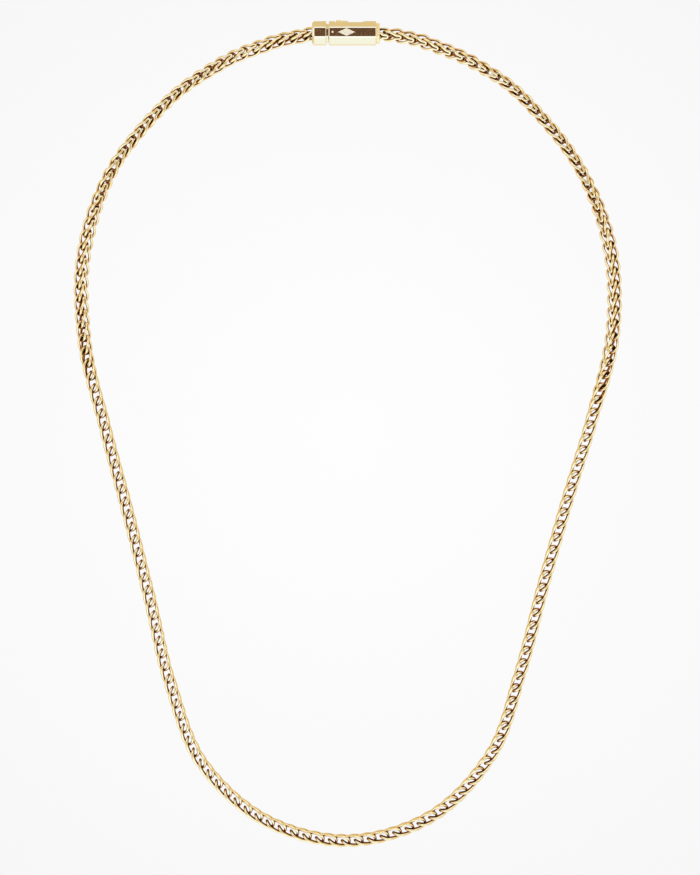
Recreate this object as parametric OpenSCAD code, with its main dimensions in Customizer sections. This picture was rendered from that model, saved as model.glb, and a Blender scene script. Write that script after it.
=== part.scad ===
/* [Chain] */
// Number of links from one end of the clasp to the other
link_count = 160; // [150:2:168]
// Size of the section across its flat faces, before the wire's own thickness is added
section_w = 3.15; // [2.9:0.05:3.25]
// Radius of the round wire that a link is bent from
wire_r = 0.34; // [0.24:0.01:0.35]

/* [Clasp] */
// Size of the eight-sided barrel across its flats
barrel_af = 6.1; // [5.6:0.1:6.6]
// Length of the closed clasp from end face to end face
clasp_len = 17.6; // [17.2:0.1:18.4]
// Length of the tongue's cap
cap_len = 3.7; // [3.2:0.1:4]
// Chamfer round the cap's outer end
cap_chamfer = 0.5; // [0.2:0.05:0.6]
// Width of the groove between the cap and the barrel
groove_w = 0.7; // [0.5:0.05:0.9]
// Size of the neck in the groove across its flats
neck_af = 4.7; // [4.4:0.1:5]
// Length of the smaller rim at the barrel's outer end
rim_len = 0.9; // [0.6:0.1:1.2]
// Size of that rim across its flats
rim_af = 5.1; // [4.9:0.1:5.4]
// Radius of the sockets that the chain's ends go into
socket_r = 2.15; // [2.1:0.05:2.2]
// Radius of the cross pins that hold the chain's ends
cross_pin_r = 0.28; // [0.2:0.02:0.3]

/* [Catch] */
// Width of the slot that the push pad stands in
slot_w = 2.1; // [1.8:0.1:2.3]
// Length of the slot
slot_len = 6.55; // [6.3:0.05:6.7]
// Length of the closed bridge between the barrel's mouth and the slot
bridge_len = 1.55; // [1.4:0.05:1.7]
// Depth of the finger scoop below the barrel's top flat
scoop_depth = 0.31; // [0.2:0.01:0.4]
// Radius of the scoop's run-out
scoop_r = 2.9; // [2:0.1:4]
// Height of the push pad above the barrel's top flat
pad_proud = 0.36; // [0.25:0.01:0.45]
// Length of the push pad
pad_len = 3.2; // [2.8:0.1:3.4]
// Space between the push pad and the bridge that it catches behind
catch_gap = 0.3; // [0.28:0.01:0.4]
// Thickness of the tongue's two leaves
leaf_t = 0.6; // [0.5:0.05:0.65]
// Radius of the pin that the push lever turns on
hinge_pin_r = 0.35; // [0.3:0.01:0.4]

/* [Hidden] */

gold = "#e2c06a";
e = 0.01;          // overlap that makes cuts go right through
gap = 0.1;         // clearance between neighbouring pieces

// The origin is on the clasp's underside, where the nape carries the necklace.
axis_z = barrel_af / 2;
left_x = -clasp_len / 2;
right_x = clasp_len / 2;

// Route of the chain's middle line, clockwise from the clasp's right end to its left end
// columns: x, z
ROUTE = [
    [6.4, 3.05],
    [12.6, 2.5],
    [20.2, 0.8],
    [33.0, -4.5],
    [46.1, -13.7],
    [60.5, -31.2],
    [68.8, -52.3],
    [69.7, -75.0],
    [64.4, -97.2],
    [57.8, -119.1],
    [51.6, -141.0],
    [45.8, -163.1],
    [38.3, -184.5],
    [22.9, -200.9],
    [1.3, -207.6],
    [-20.6, -202.5],
    [-37.4, -187.5],
    [-45.9, -166.4],
    [-51.3, -144.2],
    [-56.9, -122.1],
    [-62.8, -100.1],
    [-68.1, -78.0],
    [-68.5, -55.3],
    [-61.5, -33.7],
    [-47.5, -15.8],
    [-33.0, -5.2],
    [-20.8, 0.0],
    [-13.6, 1.9],
    [-7.9, 3.05],
];

// How far the section has turned about the middle line, in degrees. At 0 the open ladder side is to
// the front, at 90 the closed V side, and the side toward the loop's inside turns up.
// columns: link, turn
TURN = [
    [0, 60],
    [5, 60],
    [11, 90],
    [19, 90],
    [26, 45],
    [31, 45],
    [38, 0],
    [123, 0],
    [130, 45],
    [134, 45],
    [142, 90],
    [148, 90],
    [157, 135],
    [160, 135],
];

// The near half of one link, from the front fold by its end loop to the second fold. The other half
// is its mirror image.
// columns: forward (share of the pitch), up and out (share of the section)
LINK_HALF = [
    [1.35, -0.03, 0.39],
    [0.87, 0.25, 0.42],
    [-0.14, 0.40, 0.115],
    [0.16, -0.39, 0.115],
    [0.83, -0.40, 0.17],
];
wire_sides = 5;

// Place in each end link of the cross pin through it
// columns: forward, up
FIRST_PIN = [0.45, -0.02];
LAST_PIN = [0.92, -0.10];

// Smooth curve through the route's points
spans = len(ROUTE) - 1;
steps = 12;        // samples in each span

function route_point(i) =
    i < 0 ? 2 * ROUTE[0] - ROUTE[1] :
    i > spans ? 2 * ROUTE[spans] - ROUTE[spans - 1] :
    ROUTE[i];

function blend(a, b, c, d, t) =
    b + (c - a) * t / 2
    + (2 * a - 5 * b + 4 * c - d) * t * t / 2
    + (3 * b - a - 3 * c + d) * t * t * t / 2;

function on_route(u) =
    let (i = min(floor(u), spans - 1))
    blend(route_point(i - 1), route_point(i), route_point(i + 1), route_point(i + 2), u - i);

samples = [for (k = [0 : spans * steps]) on_route(k / steps)];

lengths = [
    for (k = 0, run = 0;
         k <= spans * steps;
         k = k + 1, run = run + (k > spans * steps ? 0 : norm(samples[k] - samples[k - 1])))
    [run, k / steps]
];
route_len = lengths[spans * steps][0];
pitch = route_len / link_count;

function link_place(i) = on_route(lookup(i * pitch, lengths));

function link_heading(i) =
    let (
        u = lookup(i * pitch, lengths),
        ahead = on_route(min(u + 0.01, spans)) - on_route(max(u - 0.01, 0))
    )
    atan2(ahead[1], ahead[0]);

// One link: a ring of round wire folded into a V, as one closed tube
function mirrored(p) = [p[0], p[1], -p[2]];
half_rows = len(LINK_HALF);
rings = 2 * half_rows;

function link_point(k) =
    let (p = k < half_rows ? LINK_HALF[k] : mirrored(LINK_HALF[rings - 1 - k]))
    [p[0] * pitch, p[1] * section_w, p[2] * section_w];

link_middle = [0.6 * pitch, 0, 0];

function unit(v) = v / norm(v);

function wire_ring(k) =
    let (
        here = link_point(k),
        before = link_point((k + rings - 1) % rings),
        after = link_point((k + 1) % rings),
        along = unit(unit(after - here) + unit(here - before)),
        away = here - link_middle,
        side = unit(away - (away * along) * along),
        over = cross(along, side)
    )
    [for (s = [0 : wire_sides - 1])
        let (a = 360 * s / wire_sides)
        here + wire_r * (cos(a) * side + sin(a) * over)];

function tube_faces() = [
    for (k = [0 : rings - 1], s = [0 : wire_sides - 1])
        let (
            next = (k + 1) % rings * wire_sides,
            turn = (s + 1) % wire_sides
        )
        [next + s, next + turn, k * wire_sides + turn, k * wire_sides + s]
];

module link() {
    polyhedron(
        points = [for (k = [0 : rings - 1]) each wire_ring(k)],
        faces = tube_faces()
    );
}

module chain(first, last) {
    color(gold)
        for (i = [first : last]) {
            place = link_place(i);
            translate([place[0], 0, place[1]])
                rotate([90 - lookup(i, TURN), -link_heading(i), 0])
                    link();
        }
}

middle_link = floor(link_count / 2);

module chain_right() {
    chain(0, middle_link - 1);
}

module chain_left() {
    chain(middle_link, link_count - 1);
}

// Eight-sided bar along X with a flat on top, from x0 to x1
module bar(x0, x1, across) {
    translate([x0, 0, axis_z])
        rotate([90, 0, 90])
            linear_extrude(x1 - x0)
                rotate(22.5)
                    circle(r = across / 2 / cos(22.5), $fn = 8);
}

// Cuts a 45 degree chamfer on each of a bar's flats at its left end
module left_chamfer(x, across, size) {
    for (turn = [0 : 45 : 315])
        translate([x, 0, axis_z])
            rotate([turn, 0, 0])
                translate([0, 0, across / 2])
                    rotate([90, 0, 0])
                        linear_extrude(across, center = true)
                            polygon([[-1, -size - 1], [size + 1, 1], [-1, 1]]);
}

module round_x(x0, x1, r) {
    translate([x0, 0, axis_z])
        rotate([0, 90, 0])
            cylinder(r = r, h = x1 - x0, $fn = 64);
}

module block(x0, x1, width, z0, z1) {
    translate([x0, -width / 2, z0])
        cube([x1 - x0, width, z1 - z0]);
}

// Pin across a socket, through the given place in end link number i
module cross_pin(i, spot, length) {
    place = link_place(i);
    translate([place[0], 0, place[1]])
        rotate([90 - lookup(i, TURN), -link_heading(i), 0])
            translate([spot[0] * pitch, spot[1] * section_w, 0])
                cylinder(r = cross_pin_r, h = length, center = true, $fn = 32);
}

// Barrel
barrel_x = left_x + cap_len + groove_w;
barrel_end = right_x - rim_len;
slot_x = barrel_x + bridge_len;
cavity_w = 3.5;
cavity_end = slot_x + slot_len + 0.9;
cavity_floor = axis_z - 1.75;
cavity_top = axis_z + 2.1;
keyway_top = barrel_af - 0.45;    // the pressed pad passes out below this
socket_depth = 3.6;
top_z = barrel_af;

module barrel_cavity() {
    block(barrel_x - e, cavity_end, cavity_w, cavity_floor, cavity_top);
    block(barrel_x - e, slot_x + e, slot_w, cavity_top - e, keyway_top);
    block(slot_x, slot_x + slot_len, slot_w, cavity_top - e, top_z + 1);
}

module finger_scoop() {
    scoop_z = top_z - scoop_depth;
    block(slot_x, slot_x + slot_len, barrel_af, scoop_z, top_z + 1);
    translate([slot_x + slot_len, 0, scoop_z + scoop_r])
        rotate([90, 0, 0])
            cylinder(r = scoop_r, h = barrel_af, center = true, $fn = 96);
}

// Raised plain lozenge and rivet head on the front flat
lozenge_len = 4.4;
lozenge_h = 2;
relief = 0.12;
rivet_x = -3.44;
rivet_r = 0.26;

module front_relief() {
    translate([0.2, -barrel_af / 2 + e, axis_z])
        rotate([90, 0, 0])
            linear_extrude(relief + e)
                polygon([
                    [-lozenge_len / 2, 0],
                    [0, -lozenge_h / 2],
                    [lozenge_len / 2, 0],
                    [0, lozenge_h / 2]
                ]);
    translate([rivet_x, -barrel_af / 2 + e, axis_z])
        rotate([90, 0, 0])
            cylinder(r = rivet_r, h = relief + e, $fn = 32);
}

module clasp_barrel() {
    color(gold)
        union() {
            difference() {
                union() {
                    bar(barrel_x, barrel_end, barrel_af);
                    bar(barrel_end - e, right_x, rim_af);
                }
                barrel_cavity();
                finger_scoop();
                round_x(right_x - socket_depth, right_x + 1, socket_r);
            }
            cross_pin(0, FIRST_PIN, 2 * socket_r + 0.3);
            front_relief();
        }
}

// Tongue: cap, neck, lower leaf and the two ears that hold the lever's pin
leaf_z = cavity_floor + gap;
ear_r = 0.7;
hinge_x = slot_x + slot_len - 0.4;
hinge_z = cavity_top - gap - ear_r;
ear_t = 0.45;
leaf_w = cavity_w - 2 * gap;
leaf_end = hinge_x + ear_r;

// Round bar across the clasp on the lever's pin axis
module across_pin(r, length) {
    translate([hinge_x, 0, hinge_z])
        rotate([90, 0, 0])
            cylinder(r = r, h = length, center = true, $fn = 48);
}

module ear(y) {
    translate([0, y, 0]) {
        block(hinge_x - ear_r, hinge_x + ear_r, ear_t, leaf_z, hinge_z);
        across_pin(ear_r, ear_t);
    }
}

module clasp_tongue() {
    cap_end = left_x + cap_len;
    ear_y = leaf_w / 2 - ear_t / 2;
    color(gold)
        union() {
            difference() {
                bar(left_x, cap_end, barrel_af);
                left_chamfer(left_x, barrel_af, cap_chamfer);
                round_x(left_x - 1, cap_end - 0.8, socket_r);
            }
            cross_pin(link_count - 1, LAST_PIN, 2 * socket_r + 0.3);
            bar(cap_end - e, barrel_x - gap, neck_af);
            block(barrel_x - gap - e, leaf_end, leaf_w, leaf_z, leaf_z + leaf_t);
            ear(ear_y);
            ear(-ear_y);
            across_pin(hinge_pin_r, leaf_w);
        }
}

// Push lever: knuckle, upper leaf and the raised pad with its sloping top
knuckle_r = 0.7;
knuckle_w = leaf_w - 2 * ear_t - 2 * gap;
pin_play = 0.05;
pad_w = slot_w - 2 * gap;
pad_x = slot_x + catch_gap;
pad_z = top_z + pad_proud;
pad_drop = 0.3;    // fall of the pad's top along its length
leaf_top = cavity_top - gap;

module push_lever() {
    color(gold)
        difference() {
            union() {
                block(pad_x, hinge_x, knuckle_w, leaf_top - leaf_t, leaf_top);
                translate([0, pad_w / 2, 0])
                    rotate([90, 0, 0])
                        linear_extrude(pad_w)
                            polygon([
                                [pad_x, leaf_top - leaf_t / 2],
                                [pad_x + pad_len, leaf_top - leaf_t / 2],
                                [pad_x + pad_len, pad_z - pad_drop],
                                [pad_x + 0.4, pad_z],
                                [pad_x, pad_z]
                            ]);
                across_pin(knuckle_r, knuckle_w);
            }
            across_pin(hinge_pin_r + pin_play, leaf_w);
        }
}

chain_right();
chain_left();
clasp_barrel();
clasp_tongue();
push_lever();
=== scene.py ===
import math

import bmesh
import bpy
from mathutils import Matrix, Vector
from mathutils.bvhtree import BVHTree


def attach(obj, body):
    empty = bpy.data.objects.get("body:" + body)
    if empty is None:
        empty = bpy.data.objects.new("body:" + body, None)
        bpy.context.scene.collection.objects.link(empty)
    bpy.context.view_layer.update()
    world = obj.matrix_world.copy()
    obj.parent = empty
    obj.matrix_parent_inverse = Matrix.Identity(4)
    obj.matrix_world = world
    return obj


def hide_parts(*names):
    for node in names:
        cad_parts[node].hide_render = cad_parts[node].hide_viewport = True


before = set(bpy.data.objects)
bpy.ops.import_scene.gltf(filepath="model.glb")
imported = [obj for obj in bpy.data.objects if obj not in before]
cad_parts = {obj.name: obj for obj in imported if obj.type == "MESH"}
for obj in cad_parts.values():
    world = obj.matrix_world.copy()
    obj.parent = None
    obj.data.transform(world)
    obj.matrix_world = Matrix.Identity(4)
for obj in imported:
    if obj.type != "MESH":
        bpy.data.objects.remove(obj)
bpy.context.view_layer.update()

MM = 0.001

# Sizes of the chain, in millimetres

LINK_COUNT = 160
MIDDLE_LINK = LINK_COUNT // 2    # the left half's first link
SECTION = 3.06            # unit of a link's height and depth
WIRE_RADIUS = 0.34
WIRE_SIDES = 10
DRAWN_IN = 0.9985         # the loop's share of the solids' loop, which keeps it inside their box

# The chain's middle line, clockwise from the clasp's right end to its left end, as in the solids
# Away from the clasp the points are a program's even steps along a traced line
# Columns: x, z
ROUTE = [
    (6.4, 3.05), (12.6, 2.5), (20.2, 0.8), (33.0, -4.5), (46.1, -13.7), (60.5, -31.2),
    (68.8, -52.3), (69.7, -75.0), (64.4, -97.2), (57.8, -119.1), (51.6, -141.0),
    (45.8, -163.1), (38.3, -184.5), (22.9, -200.9), (1.3, -207.6), (-20.6, -202.5),
    (-37.4, -187.5), (-45.9, -166.4), (-51.3, -144.2), (-56.9, -122.1), (-62.8, -100.1),
    (-68.1, -78.0), (-68.5, -55.3), (-61.5, -33.7), (-47.5, -15.8), (-33.0, -5.2),
    (-20.8, 0.0), (-13.6, 1.9), (-7.9, 3.05),
]
ROUTE_STEPS = 12          # samples of each of its spans, to measure its length
HEADING_STEP = 0.01       # part of a span over which the heading is measured

# How far the section has turned about the middle line, in degrees: 0 shows a ladder and 90 shows Vs
# Columns: link, turn
TURN = [
    (0, 60), (5, 60), (11, 90), (19, 90), (26, 45), (31, 45), (39, 2),
    (123, 2), (130, 45), (134, 45), (142, 90), (148, 90), (157, 135), (160, 135),
]

# The near half of one link's wire, from the front fold round its end loop to the second fold
# Begun from a program's rounded result and then moved
# Columns: forward (share of the pitch), up and out (shares of the section)
LINK_HALF = [
    (1.60, -0.12, 0.00),
    (1.56, -0.08, 0.19),
    (1.41, 0.11, 0.37),
    (1.17, 0.29, 0.40),
    (0.95, 0.36, 0.36),
    (0.74, 0.40, 0.28),
    (0.45, 0.40, 0.17),
    (0.17, 0.34, 0.13),
    (0.03, 0.13, 0.14),
    (0.06, -0.09, 0.27),
    (0.21, -0.26, 0.39),
    (0.46, -0.36, 0.39),
    (0.72, -0.41, 0.30),
    (0.94, -0.40, 0.16),
    (1.12, -0.40, 0.13),
    (1.28, -0.38, 0.12),
    (1.36, -0.36, 0.00),
]
LINK_STEPS = 2            # rings of the wire for each of these rows

# Rays that measure how hidden a spot of the wire is
CREVICE_RAYS = 96
CREVICE_REACH = 5.0       # length of a ray
CREVICE_LIFT = 0.02       # height above the wire at which a ray starts
CORE_SHARE = 0.30         # painted shade added on the chain's middle line, where least light comes in
HALF_WIDTH = max(abs(up) for _, up, _ in LINK_HALF) * SECTION + WIRE_RADIUS


def spline(a, b, c, d, t):
    """Point at t on the smooth curve from b to c, with a before them and d after them."""
    return (b + (c - a) * t / 2
            + (2 * a - 5 * b + 4 * c - d) * t ** 2 / 2
            + (3 * b - a - 3 * c + d) * t ** 3 / 2)


# Route of the chain

route = [DRAWN_IN * Vector(p) for p in ROUTE]
route = [2 * route[0] - route[1], *route, 2 * route[-1] - route[-2]]
SPANS = len(ROUTE) - 1


def on_route(u):
    """Point on the route after u of its spans."""
    i = min(int(u), SPANS - 1)
    return spline(*route[i:i + 4], u - i)


def route_lengths():
    """Length run at each sample of the route, with the sample's place on it."""
    rows, run, last = [], 0.0, on_route(0)
    for k in range(SPANS * ROUTE_STEPS + 1):
        here = on_route(k / ROUTE_STEPS)
        run += (here - last).length
        rows.append((run, k / ROUTE_STEPS))
        last = here
    return rows


def lookup(x, rows):
    """Straight line between the rows of a table with two columns."""
    for (x0, y0), (x1, y1) in zip(rows, rows[1:]):
        if x <= x1:
            return y0 + (y1 - y0) * (x - x0) / (x1 - x0)
    return rows[-1][1]


LENGTHS = route_lengths()
PITCH = LENGTHS[-1][0] / LINK_COUNT


def link_matrix(i):
    """Where link number i lies, in millimetres."""
    u = lookup(i * PITCH, LENGTHS)
    place = on_route(u)
    ahead = on_route(min(u + HEADING_STEP, SPANS)) - on_route(max(u - HEADING_STEP, 0))
    heading = math.atan2(ahead.y, ahead.x)
    turn = math.radians(90 - lookup(i, TURN))
    return (Matrix.Translation((place.x, 0, place.y))
            @ Matrix.Rotation(-heading, 4, "Y") @ Matrix.Rotation(turn, 4, "X"))


# Making pieces


def finish_piece(bm, name, body, slot, materials, *nodes):
    """Turns a mesh in millimetres into a piece that stands for the given CAD nodes."""
    bmesh.ops.scale(bm, vec=(MM, MM, MM), verts=bm.verts)
    mesh = bpy.data.meshes.new(name)
    bm.to_mesh(mesh)
    bm.free()
    for material in materials:
        mesh.materials.append(material)
    piece = bpy.data.objects.new(name, mesh)
    bpy.context.scene.collection.objects.link(piece)
    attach(piece, body)
    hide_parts(*nodes)


def link_path():
    """The closed path of one link's wire."""
    half = [Vector((f * PITCH, u * SECTION, o * SECTION)) for f, u, o in LINK_HALF]
    back = [Vector((p.x, p.y, -p.z)) for p in reversed(half[1:-1])]
    ring = half + back
    count = len(ring)
    return [
        spline(*(ring[(k + j) % count] for j in (-1, 0, 1, 2)), step / LINK_STEPS)
        for k in range(count) for step in range(LINK_STEPS)
    ]


def five_links(mesh):
    """A link with two more before it and two behind it, for rays to meet."""
    run = bmesh.new()
    for k in range(-2, 3):
        made = len(run.verts)
        run.from_mesh(mesh)
        run.verts.ensure_lookup_table()
        bmesh.ops.translate(run, vec=(k * PITCH, 0, 0), verts=run.verts[made:])
    wire = BVHTree.FromBMesh(run)
    run.free()
    return wire


def all_round(count):
    """Directions spread evenly over a ball."""
    golden_angle = math.pi * (3 - math.sqrt(5))
    rays = []
    for k in range(count):
        height = 1 - (2 * k + 1) / count
        ring = math.sqrt(1 - height ** 2)
        angle = golden_angle * k
        rays.append(Vector((ring * math.cos(angle), ring * math.sin(angle), height)))
    return rays


def shade_depths(mesh):
    """How hidden each vertex of a link is, as the depth of the wire's painted shade: from 0, in the open,
    to 1, deep between the wires.
    """
    wire = five_links(mesh)
    rays = all_round(CREVICE_RAYS)
    depths = []
    for vertex in mesh.vertices:
        seen = hidden = 0.0
        start = vertex.co + CREVICE_LIFT * vertex.normal
        for ray in rays:
            share = ray.dot(vertex.normal)
            if share > 0:
                seen += share
                if wire.ray_cast(start, ray, CREVICE_REACH)[0]:
                    hidden += share
        # Painted shade: spots nearer the chain's middle line count as more hidden
        core = 1 - max(abs(vertex.co.y), abs(vertex.co.z)) / HALF_WIDTH
        depths.append(min(1, hidden / seen + CORE_SHARE * core))
    return depths


def wire_turns(along):
    """Where the wire's rings turn to along a closed path, with no more twist than closes it."""
    count = len(along)
    sides = [along[0].orthogonal().normalized()]
    for k in range(1, count + 1):
        sides.append(along[k - 1].rotation_difference(along[k % count]) @ sides[-1])
    twist = sides[-1].angle(sides[0])
    if along[0].dot(sides[-1].cross(sides[0])) < 0:
        twist = -twist
    turns = []
    for k in range(count):
        side = Matrix.Rotation(twist * k / count, 3, along[k]) @ sides[k]
        over = along[k].cross(side)
        turns.append(Matrix((side, over, along[k])).transposed().to_4x4())
    return turns


def link_mesh():
    """One link: circles of the wire set along its path and bridged into a closed ring."""
    path = link_path()
    count = len(path)
    along = [(path[(k + 1) % count] - path[k - 1]).normalized() for k in range(count)]
    bm = bmesh.new()
    loops = []
    for place, turned in zip(path, wire_turns(along)):
        ring = bmesh.ops.create_circle(
            bm, cap_ends=False, radius=WIRE_RADIUS, segments=WIRE_SIDES,
            matrix=Matrix.Translation(place) @ turned)
        loops.append(list({e for v in ring["verts"] for e in v.link_edges}))
    for k in range(count):
        bmesh.ops.bridge_loops(bm, edges=loops[k - 1] + loops[k])
    bmesh.ops.recalc_face_normals(bm, faces=bm.faces)
    for face in bm.faces:
        face.smooth = True
    mesh = bpy.data.meshes.new("one_link")
    bm.to_mesh(mesh)
    bm.free()
    # How hidden each vertex is, from which the wire's colour paints shade
    painted_shade_depth = mesh.attributes.new("painted_shade_depth", "FLOAT", "POINT")
    painted_shade_depth.data.foreach_set("value", shade_depths(mesh))
    return mesh


def chain(name, links, material):
    """A run of interlocked links as one piece."""
    bm = bmesh.new()
    one = link_mesh()
    for i in links:
        made = len(bm.verts)
        bm.from_mesh(one)
        bm.verts.ensure_lookup_table()
        bmesh.ops.transform(bm, matrix=link_matrix(i), verts=bm.verts[made:])
    bpy.data.meshes.remove(one)
    finish_piece(bm, name + "_links", "necklace", "chain_gold", [material], name)


# Materials

# Between these shares of hidden view the wire's colour goes from open to flank, and from flank to depth.
# The open colour is the gold's own; the flank's orange and the depth's red-brown are painted shade.
OPEN_TO_FLANK = (0.14, 0.50)
FLANK_TO_DEPTH = (0.44, 0.88)
WIRE_OPEN = "#fadf9e"
WIRE_FLANK_SHADE = "#d68a40"
WIRE_DEPTH_SHADE = "#4a2816"


def linear(hex_colour):
    """sRGB hex colour as linear red, green, blue and alpha."""
    parts = [int(hex_colour[k:k + 2], 16) / 255 for k in (1, 3, 5)]
    return [c / 12.92 if c <= 0.04045 else ((c + 0.055) / 1.055) ** 2.4 for c in parts] + [1]


def join(tree, node, inputs):
    """Sets a node's inputs, each to a value or to another node's output."""
    for key, value in inputs.items():
        if isinstance(value, bpy.types.NodeSocket):
            tree.links.new(value, node.inputs[key])
        else:
            node.inputs[key].default_value = value


def add(tree, kind, inputs, output=0, **settings):
    """Adds a node with its settings and inputs and gives one of its outputs."""
    node = tree.nodes.new(kind)
    for key, value in settings.items():
        setattr(node, key, value)
    join(tree, node, inputs)
    return node.outputs[output]


def new_material(name):
    """A material with its nodes, its shader and the place on the piece."""
    material = bpy.data.materials.new(name)
    material.use_nodes = True
    tree = material.node_tree
    place = add(tree, "ShaderNodeTexCoord", {}, "Object")
    return material, tree, tree.nodes["Principled BSDF"], place


def wavy(tree, place, per_mm, depth_mm):
    """Surface normal of metal that polishing has left slightly uneven."""
    noise = add(tree, "ShaderNodeTexNoise", {"Vector": place, "Scale": per_mm / MM, "Detail": 0.5})
    return add(tree, "ShaderNodeBump", {"Height": noise, "Strength": 1, "Distance": depth_mm * MM})


def wire_gold_material():
    # Polished yellow gold wire: bright where it is open, with painted shade, orange on the flanks and
    # red-brown where the links hide each other
    material, tree, shader, place = new_material("polished_gold_wire")
    hidden = add(tree, "ShaderNodeAttribute", {}, "Fac", attribute_name="painted_shade_depth")
    flank_shade = add(tree, "ShaderNodeMapRange", {
        "Value": hidden, "From Min": OPEN_TO_FLANK[0], "From Max": OPEN_TO_FLANK[1]})
    depth_shade = add(tree, "ShaderNodeMapRange", {
        "Value": hidden, "From Min": FLANK_TO_DEPTH[0], "From Max": FLANK_TO_DEPTH[1]})
    open_or_flank = add(tree, "ShaderNodeMixRGB", {
        "Fac": flank_shade, "Color1": linear(WIRE_OPEN), "Color2": linear(WIRE_FLANK_SHADE)})
    colour = add(tree, "ShaderNodeMixRGB", {
        "Fac": depth_shade, "Color1": open_or_flank, "Color2": linear(WIRE_DEPTH_SHADE)})
    rough = add(tree, "ShaderNodeMapRange", {"Value": hidden, "To Min": 0.14, "To Max": 0.35})
    join(tree, shader, {
        "Base Color": colour, "Metallic": 1, "Roughness": rough, "Specular Tint": linear("#f3cf96"),
        "Normal": wavy(tree, place, per_mm=2.5, depth_mm=0.012)})
    return material


def mirror_gold_material():
    # Mirror-polished yellow gold: broad flat facets, with fine wear that clouds their reflections in places
    material, tree, shader, place = new_material("mirror_polished_gold")
    wear = add(tree, "ShaderNodeTexNoise", {"Vector": place, "Scale": 2.6 / MM, "Detail": 2})
    rough = add(tree, "ShaderNodeMapRange", {
        "Value": wear, "From Min": 0.40, "From Max": 0.70, "To Min": 0.06, "To Max": 0.24})
    join(tree, shader, {
        "Base Color": linear("#f6deac"), "Metallic": 1, "Roughness": rough,
        "Normal": wavy(tree, place, per_mm=0.8, depth_mm=0.010)})
    return material


def satin_gold_material():
    # Satin gold: the lozenge and the rivet's head, matt and pale beside the mirror facets
    material, tree, shader, place = new_material("satin_gold")
    join(tree, shader, {
        "Base Color": linear("#ffeec8"), "Metallic": 1, "Roughness": 0.62,
        "Normal": wavy(tree, place, per_mm=14, depth_mm=0.012)})
    return material


def soft_gold_material():
    # Softly polished gold of the push lever and the end rim: an even glow with no reflections
    material, tree, shader, place = new_material("softly_polished_gold")
    join(tree, shader, {
        "Base Color": linear("#ffe4a4"), "Metallic": 1, "Roughness": 0.60,
        "Normal": wavy(tree, place, per_mm=3, depth_mm=0.010)})
    return material


# Clasp, with its sizes in millimetres

ACROSS_FLATS = 6.1
CLASP_AXIS_Z = ACROSS_FLATS / 2
FRONT_FACET_Y = -ACROSS_FLATS / 2
BARREL_TOP_Z = ACROSS_FLATS
CHAMFER_END_X = -8.3      # the cap narrows from here to its left end
CAP_END_X = -5.1
BARREL_START_X = -4.4
RIM_START_X = 7.9
RIM_END_X = 8.8
SECTION_ENDS = (CAP_END_X, BARREL_START_X, RIM_START_X, RIM_END_X)
OCTAGON_CORNER = 3.2      # the clasp's long edges lie further from its axis than this
SOCKET_MOUTH = 2.3        # the sockets' round mouths lie nearer to the axis than this
MERGED = 0.0005           # corners nearer to each other than this are one
NEAR = 0.01
FLAT = math.radians(0.5)
SHARP = math.radians(30)
TINY = 0.05               # edges shorter than this stay sharp
BROAD_ROUNDING = 0.19
SMALL_ROUNDING = 0.05
NARROW = 0.25             # a face narrower than this is part of a rounding or a bore, and not a facet


def sticking_out(bm):
    """The sharp edges that a finger can feel."""
    return [e for e in bm.edges if e.calc_face_angle_signed(0) > SHARP and e.calc_length() > TINY]


def is_broad(edge):
    """Whether an edge is one that polishing rounds the most."""
    a, b = (v.co for v in edge.verts)
    from_axis = math.hypot((a.y + b.y) / 2, (a.z + b.z) / 2 - CLASP_AXIS_Z)
    between_facets = abs(a.y - b.y) + abs(a.z - b.z) < NEAR and from_axis > OCTAGON_CORNER
    at_an_end = abs(a.x - b.x) < NEAR and min(abs(a.x - x) for x in SECTION_ENDS) < NEAR
    on_the_chamfer = max(a.x, b.x) < CHAMFER_END_X + NEAR
    on_the_pad = min(a.z, b.z) > BARREL_TOP_Z + NEAR
    outside = from_axis > SOCKET_MOUTH
    return between_facets or on_the_pad or outside and (at_an_end or on_the_chamfer)


def round_off(bm, edges, width, segments):
    """Rounds edges off with a strip of the given width on each side."""
    bmesh.ops.bevel(
        bm, geom=edges, offset=width, offset_type="OFFSET", segments=segments, profile=0.5,
        affect="EDGES", material=-1, clamp_overlap=False)


def softened(node, body, slot, *materials):
    """A copy of a CAD node with the rounded edges that polishing leaves.

    Of several materials the second is for what stands out from the front facet, the third for the end rim.
    """
    bm = bmesh.new()
    bm.from_mesh(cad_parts[node].data)
    bmesh.ops.scale(bm, vec=(1 / MM, 1 / MM, 1 / MM), verts=bm.verts)
    bmesh.ops.remove_doubles(bm, verts=bm.verts, dist=MERGED)
    bmesh.ops.dissolve_limit(bm, angle_limit=FLAT, verts=bm.verts, edges=bm.edges)
    round_off(bm, [e for e in sticking_out(bm) if is_broad(e)], BROAD_ROUNDING, segments=4)
    round_off(bm, sticking_out(bm), SMALL_ROUNDING, segments=2)
    for face in bm.faces:
        longest = max(edge.calc_length() for edge in face.edges)
        face.smooth = face.calc_area() < NARROW * longest
    if len(materials) > 1:
        for face in bm.faces:
            middle = face.calc_center_median()
            if middle.y < FRONT_FACET_Y - MERGED:
                face.material_index = 1
            elif middle.x > RIM_START_X + MERGED:
                face.material_index = 2
    finish_piece(bm, node + "_polished", body, slot, materials, node)


wire_gold = wire_gold_material()
clasp_gold = mirror_gold_material()
satin_gold = satin_gold_material()
soft_gold = soft_gold_material()

# Pieces

chain("chain_right", range(0, MIDDLE_LINK), wire_gold)
chain("chain_left", range(MIDDLE_LINK, LINK_COUNT), wire_gold)
softened("clasp_barrel", "necklace", "clasp_gold", clasp_gold, satin_gold, soft_gold)
softened("clasp_tongue", "necklace", "clasp_gold", clasp_gold)
softened("push_lever", "lever", "lever_gold", soft_gold)

# Light: a tent of pale cloth with lamps behind it and an opening for the camera

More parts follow.
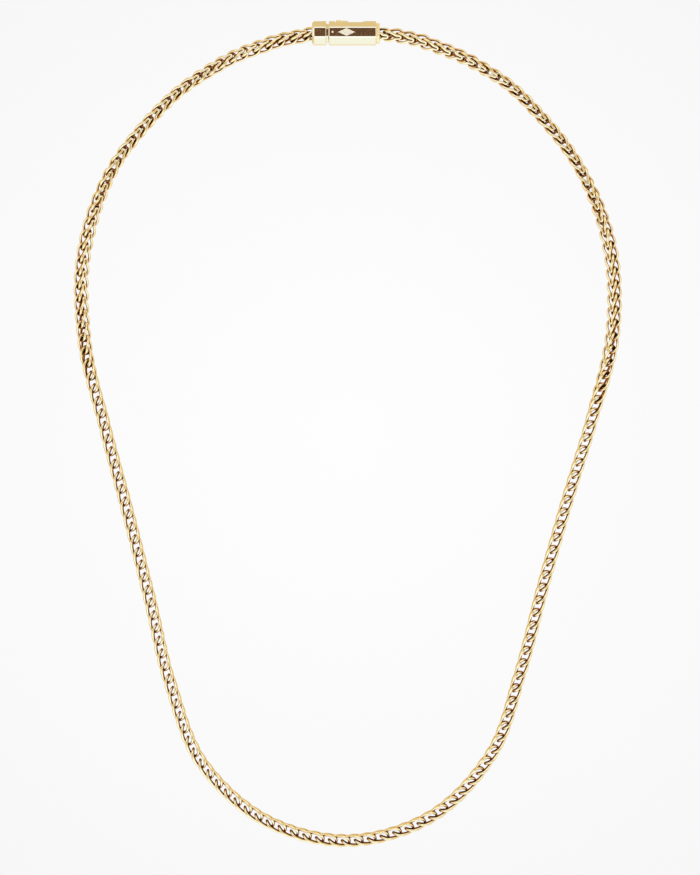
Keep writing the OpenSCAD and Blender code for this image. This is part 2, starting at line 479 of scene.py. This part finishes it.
world = bpy.data.worlds.new("light_tent")
bpy.context.scene.world = world
world.use_nodes = True
tent = world.node_tree
toward = add(tent, "ShaderNodeTexCoord", {}, "Generated")


def patch(direction, inner, outer):
    """1 in a round patch of the tent and 0 outside it, with a soft edge between its two angles."""
    nearness = add(tent, "ShaderNodeVectorMath", {0: toward, 1: Vector(direction).normalized()},
                   "Value", operation="DOT_PRODUCT")
    return add(tent, "ShaderNodeMapRange", {
        "Value": nearness,
        "From Min": math.cos(math.radians(outer)),
        "From Max": math.cos(math.radians(inner)),
    }, interpolation_type="SMOOTHSTEP")


# Lamps above, below, on the left and right, and the white paper behind, which grazing facets mirror
# Columns: direction, inner and outer angle in degrees, added red, green and blue light
LAMPS = [
    ((0, -0.70, 0.72), 18, 34, (0.42, 0.80, 1.84)),
    ((0, -0.78, -0.62), 20, 38, (0.33, 0.61, 1.33)),
    ((0, -0.10, -1), 28, 62, (0.20, 0.50, 1.17)),
    ((-0.96, -0.28, 0.05), 20, 36, (0.26, 0.52, 1.15)),
    ((0.96, -0.28, 0.05), 20, 36, (0.26, 0.52, 1.15)),
    ((0, 1, -0.13), 8, 18, (0.15, 0.16, 0.17)),
]
TENT_COLOUR = (0.80, 0.745, 0.57)
OPENING = ((0, -0.998, 0.06), 12, 21)
ROOM_DARK = (0.050, 0.026, 0.014, 1)
ROOM_LIGHT = (0.210, 0.125, 0.085, 1)
ROOM_THINGS = 34          # how small the things in the room look: noise cells per unit of direction

light = TENT_COLOUR
for direction, inner, outer, added in LAMPS:
    light = add(tent, "ShaderNodeVectorMath", {
        0: patch(direction, inner, outer), 1: added, 2: light}, operation="MULTIPLY_ADD")
things = add(tent, "ShaderNodeTexNoise", {"Vector": toward, "Scale": ROOM_THINGS, "Detail": 4})
room = add(tent, "ShaderNodeMixRGB", {"Fac": things, "Color1": ROOM_DARK, "Color2": ROOM_LIGHT})
light = add(tent, "ShaderNodeMixRGB", {"Fac": patch(*OPENING), "Color1": light, "Color2": room})
join(tent, tent.nodes["Background"], {"Color": light})

# Floor and backdrop: a drum of white paper that glows nearly evenly, with a painted pool of light behind
# the necklace, and its sizes in metres

FLOOR_Z, DRUM_RADIUS, DRUM_TOP = -0.45, 1.9, 1.6
DRUM_SIDES = 96
# The paper's painted pool of light is brightest at this spot behind the necklace and a little darker at
# this distance from it
PAINTED_LIGHT_SPOT = (0, DRUM_RADIUS, -0.1)
PAINTED_LIGHT_REACH = 0.48

white_paper = bpy.data.materials.new("white_paper")
white_paper.use_nodes = True
paper = white_paper.node_tree
place = add(paper, "ShaderNodeTexCoord", {}, "Object")
away = add(paper, "ShaderNodeVectorMath", {0: place, 1: PAINTED_LIGHT_SPOT}, "Value", operation="DISTANCE")
painted_light_falloff = add(paper, "ShaderNodeMapRange", {"Value": away, "From Max": PAINTED_LIGHT_REACH})
white = add(paper, "ShaderNodeMixRGB", {
    "Fac": painted_light_falloff, "Color1": linear("#fefefe"), "Color2": linear("#f7f7f7")})
glow = add(paper, "ShaderNodeEmission", {"Color": white})
join(paper, paper.nodes["Material Output"], {"Surface": glow})

drum = bmesh.new()
bmesh.ops.create_circle(
    drum, cap_ends=True, radius=DRUM_RADIUS, segments=DRUM_SIDES,
    matrix=Matrix.Translation((0, 0, FLOOR_Z)))
walls = bmesh.ops.extrude_edge_only(drum, edges=drum.edges[:])["geom"]
bmesh.ops.translate(
    drum, vec=(0, 0, DRUM_TOP - FLOOR_Z),
    verts=[v for v in walls if isinstance(v, bmesh.types.BMVert)])
bmesh.ops.recalc_face_normals(drum, faces=drum.faces)
mesh = bpy.data.meshes.new("backdrop")
drum.to_mesh(mesh)
drum.free()
mesh.materials.append(white_paper)
backdrop = bpy.data.objects.new("backdrop", mesh)
bpy.context.scene.collection.objects.link(backdrop)
backdrop.visible_glossy = False
backdrop.visible_diffuse = False
backdrop.visible_shadow = False

# Camera, straight in front of the loop, with its sizes in metres

FRAME_HEIGHT = 0.2281     # what the photograph's height takes in at the necklace
FRAME_MIDDLE_X = 0.00109
FRAME_MIDDLE_Z = -0.1023
CAMERA_DISTANCE = 0.85
SENSOR = 36               # in millimetres, as the lens is

camera_data = bpy.data.cameras.new("camera")
camera_data.sensor_width = SENSOR
camera_data.lens = SENSOR * CAMERA_DISTANCE / FRAME_HEIGHT
camera_data.clip_start = 0.01
camera_data.clip_end = 10
camera = bpy.data.objects.new("camera", camera_data)
camera.location = (FRAME_MIDDLE_X, -CAMERA_DISTANCE, FRAME_MIDDLE_Z)
camera.rotation_euler = (math.radians(90), 0, 0)
bpy.context.scene.collection.objects.link(camera)
bpy.context.scene.camera = camera
bpy.context.scene.view_settings.view_transform = "Standard"
